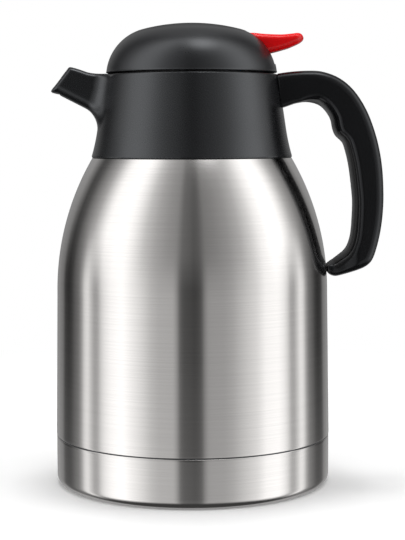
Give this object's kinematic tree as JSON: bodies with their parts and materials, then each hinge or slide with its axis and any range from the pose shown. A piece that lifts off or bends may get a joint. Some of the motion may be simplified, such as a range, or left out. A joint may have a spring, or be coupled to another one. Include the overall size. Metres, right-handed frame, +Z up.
{
  "type": "vacuum carafe",
  "caption": "Double-walled steel vacuum carafe with a black spout collar and handle, and a screw-out stopper lid whose thumb lever opens a pouring valve.",
  "frame": {"origin": "on the vessel's axis, in the plane of the foot ring that it stands on", "axes": "+Z up along the vessel's axis, +X towards the handle, -X towards the spout"},
  "size_m": [0.1783, 0.1484, 0.2475],
  "materials": {
    "brushed_steel": "fine horizontal brushing, semi-gloss",
    "base_steel": "fine horizontal brushing, semi-gloss",
    "liner_steel": "plain drawn steel",
    "sealing_metal": "dull sintered metal",
    "collar_plastic": "fine matte texture, near black",
    "dome_plastic": "fine matte texture, near black",
    "handle_plastic": "satin black",
    "inner_plastic": "plain moulded black",
    "lever_plastic": "glossy red",
    "silicone": "translucent white silicone",
    "screw_steel": "bright stainless steel",
    "spring_steel": "bright drawn wire"
  },
  "bodies": {
    "jug": {"outer_shell": "brushed_steel", "inner_liner": "liner_steel", "base_cup": "base_steel", "outer_bottom": "liner_steel", "vacuum_plug": "sealing_metal", "getter": "sealing_metal", "collar": "collar_plastic", "neck_gasket": "silicone", "neck_insert": "inner_plastic", "handle": "handle_plastic", "handle_screws": "screw_steel"},
    "stopper_seal": {"stopper_gasket": "silicone"},
    "lid": {"lid_dome": "dome_plastic", "lid_base": "inner_plastic", "lid_screws": "screw_steel", "stopper_body": "inner_plastic", "upper_seal": "silicone", "lever_pin": "screw_steel", "stem_seal": "silicone", "return_spring": "spring_steel"},
    "lever": {"thumb_lever": "lever_plastic"},
    "valve": {"valve_stem": "inner_plastic", "valve_gasket": "silicone", "stem_head": "screw_steel"}
  },
  "joints": [
    {"name": "lid_rise", "type": "slide", "parent": "jug", "child": "stopper_seal", "axis": [0, 0, 1], "range_m": [0, 0.072]},
    {"name": "lid_turn", "type": "hinge", "parent": "stopper_seal", "child": "lid", "pos_m": [0, 0, 0.2], "axis": [0, 0, 1], "range_deg": [0, 1080]},
    {"name": "lever_press", "type": "hinge", "parent": "lid", "child": "lever", "pos_m": [0.022, 0, 0.23], "axis": [0, 1, 0], "range_deg": [0, 14], "stiffness_Nm_per_rad": 0.5, "springref_deg": -3.44},
    {"name": "valve_lift", "type": "slide", "parent": "lid", "child": "valve", "axis": [0, 0, 1], "range_m": [0, 0.0053], "deforming": ["return_spring"]}
  ],
  "couplings": [
    {"joint": "lid_turn", "follows": "lid_rise", "rad_per_m": 261.8},
    {"joint": "lever_press", "follows": "valve_lift", "rad_per_m": 45.9}
  ]
}
